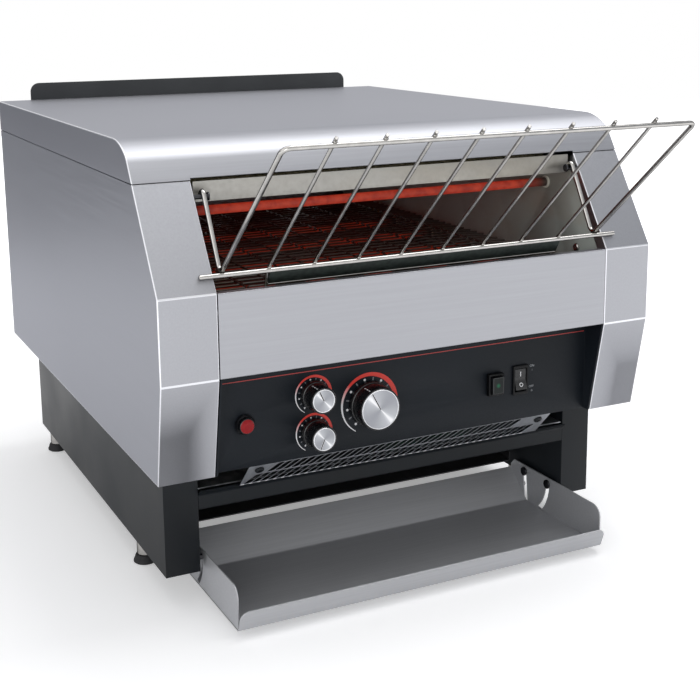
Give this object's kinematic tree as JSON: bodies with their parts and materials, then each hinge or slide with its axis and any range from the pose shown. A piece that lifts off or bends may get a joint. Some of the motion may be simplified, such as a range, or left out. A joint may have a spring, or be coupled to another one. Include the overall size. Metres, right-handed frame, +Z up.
{
  "type": "conveyor toaster",
  "caption": "Counter-top conveyor toaster: stainless body on black legs, wire feed rack, wire belt between heating elements, rear toast slide and tipping discharge tray.",
  "frame": {"origin": "centre of the whole toaster's box in plan, at the worktop under the foot pads", "axes": "+X to the right seen from the front, +Y from the feed rack to the back, +Z up"},
  "size_m": [0.473, 0.6904, 0.422],
  "materials": {
    "stainless": "brushed stainless steel, satin",
    "heat_tinted_steel": "dull steel, darkened by heat",
    "base_black": "satin black powder coat",
    "panel_black": "matt black with printed dials",
    "bright_wire": "bright plated steel",
    "zinc_steel": "zinc-plated steel",
    "hot_element": "metal-sheathed heating element, glowing",
    "ceramic": "unglazed white ceramic",
    "bronze": "sintered bronze",
    "wool": "mineral wool",
    "rubber": "matt rubber",
    "black_plastic": "matt black plastic",
    "board_green": "green circuit board",
    "knob_silver": "satin aluminium",
    "red_lens": "clear red plastic"
  },
  "bodies": {
    "toaster": {"top_cover": "stainless", "left_side_panel": "stainless", "right_side_panel": "stainless", "front_panel": "stainless", "control_panel": "panel_black", "rear_panel": "stainless", "rear_deflector": "heat_tinted_steel", "left_leg": "base_black", "right_leg": "base_black", "base_rear_panel": "base_black", "base_bottom_pan": "base_black", "front_crossbar": "base_black", "component_floor": "zinc_steel", "inlet_grille": "base_black", "foot_stems": "bright_wire", "foot_pads": "rubber", "hanger_studs": "bright_wire", "feed_plate": "heat_tinted_steel", "left_chamber_wall": "heat_tinted_steel", "right_chamber_wall": "heat_tinted_steel", "chamber_floor": "heat_tinted_steel", "top_reflector": "heat_tinted_steel", "bottom_reflector": "stainless", "top_insulation": "wool", "top_elements": "hot_element", "bottom_elements": "hot_element", "element_insulators": "ceramic", "conveyor_belt": "bright_wire", "shaft_bushes": "bronze", "gearmotor": "zinc_steel", "drive_chain": "heat_tinted_steel", "fan_frame": "black_plastic", "toast_slide": "stainless", "control_board": "board_green", "contactors": "black_plastic", "terminal_block": "ceramic", "control_bodies": "black_plastic", "indicator_lamp": "black_plastic", "indicator_lens": "red_lens", "saver_switch": "black_plastic", "rocker_switch": "black_plastic", "cord_gland": "black_plastic", "screws": "bright_wire"},
    "drive_shaft_set": {"drive_shaft": "zinc_steel", "drive_wheels": "heat_tinted_steel", "driven_sprocket": "zinc_steel"},
    "idler_shaft_set": {"idler_shaft": "zinc_steel", "idler_wheels": "heat_tinted_steel"},
    "motor_output": {"motor_sprocket": "zinc_steel"},
    "fan_rotor": {"fan_impeller": "black_plastic"},
    "top_heat_control": {"top_heat_knob": "black_plastic", "top_heat_cap": "knob_silver"},
    "bottom_heat_control": {"bottom_heat_knob": "black_plastic", "bottom_heat_cap": "knob_silver"},
    "speed_control": {"speed_knob": "black_plastic", "speed_cap": "knob_silver"},
    "power_rocker": {"rocker": "black_plastic"},
    "power_save_button": {"saver_button": "black_plastic"},
    "tray": {"discharge_tray": "stainless"},
    "rack": {"feed_rack": "bright_wire"}
  },
  "joints": [
    {"name": "conveyor_drive", "type": "hinge", "parent": "toaster", "child": "drive_shaft_set", "pos_m": [0, -0.16482, 0.254], "axis": [1, 0, 0], "continuous": true},
    {"name": "idler_turn", "type": "hinge", "parent": "toaster", "child": "idler_shaft_set", "pos_m": [0, 0.22517, 0.254], "axis": [1, 0, 0], "continuous": true},
    {"name": "motor_turn", "type": "hinge", "parent": "toaster", "child": "motor_output", "pos_m": [0, -0.04283, 0.165], "axis": [1, 0, 0], "continuous": true},
    {"name": "fan_spin", "type": "hinge", "parent": "toaster", "child": "fan_rotor", "pos_m": [0, -0.04983, 0.1515], "axis": [1, 0, 0], "continuous": true},
    {"name": "top_heat_turn", "type": "hinge", "parent": "toaster", "child": "top_heat_control", "pos_m": [-0.095, -0.19983, 0.1855], "axis": [0, 1, 0], "range_deg": [-130, 170]},
    {"name": "bottom_heat_turn", "type": "hinge", "parent": "toaster", "child": "bottom_heat_control", "pos_m": [-0.095, -0.19983, 0.152], "axis": [0, 1, 0], "range_deg": [0, 300]},
    {"name": "speed_turn", "type": "hinge", "parent": "toaster", "child": "speed_control", "pos_m": [-0.042, -0.19983, 0.17], "axis": [0, 1, 0], "range_deg": [-125, 175]},
    {"name": "rocker_tip", "type": "hinge", "parent": "toaster", "child": "power_rocker", "pos_m": [0.113, -0.19783, 0.169], "axis": [1, 0, 0], "range_deg": [0, 16]},
    {"name": "power_save_press", "type": "slide", "parent": "toaster", "child": "power_save_button", "axis": [0, 1, 0], "range_m": [0, 0.0025], "stiffness_N_per_m": 400, "springref_m": -0.0015},
    {"name": "tray_tip", "type": "hinge", "parent": "toaster", "child": "tray", "pos_m": [0, -0.11083, 0.0375], "axis": [-1, 0, 0], "range_deg": [0, 34]},
    {"name": "rack_lift", "type": "slide", "parent": "toaster", "child": "rack", "axis": [0, 0, 1], "range_m": [0, 0.018]}
  ],
  "couplings": [
    {"joint": "idler_turn", "follows": "conveyor_drive", "ratio": 1},
    {"joint": "motor_turn", "follows": "conveyor_drive", "ratio": 2}
  ]
}
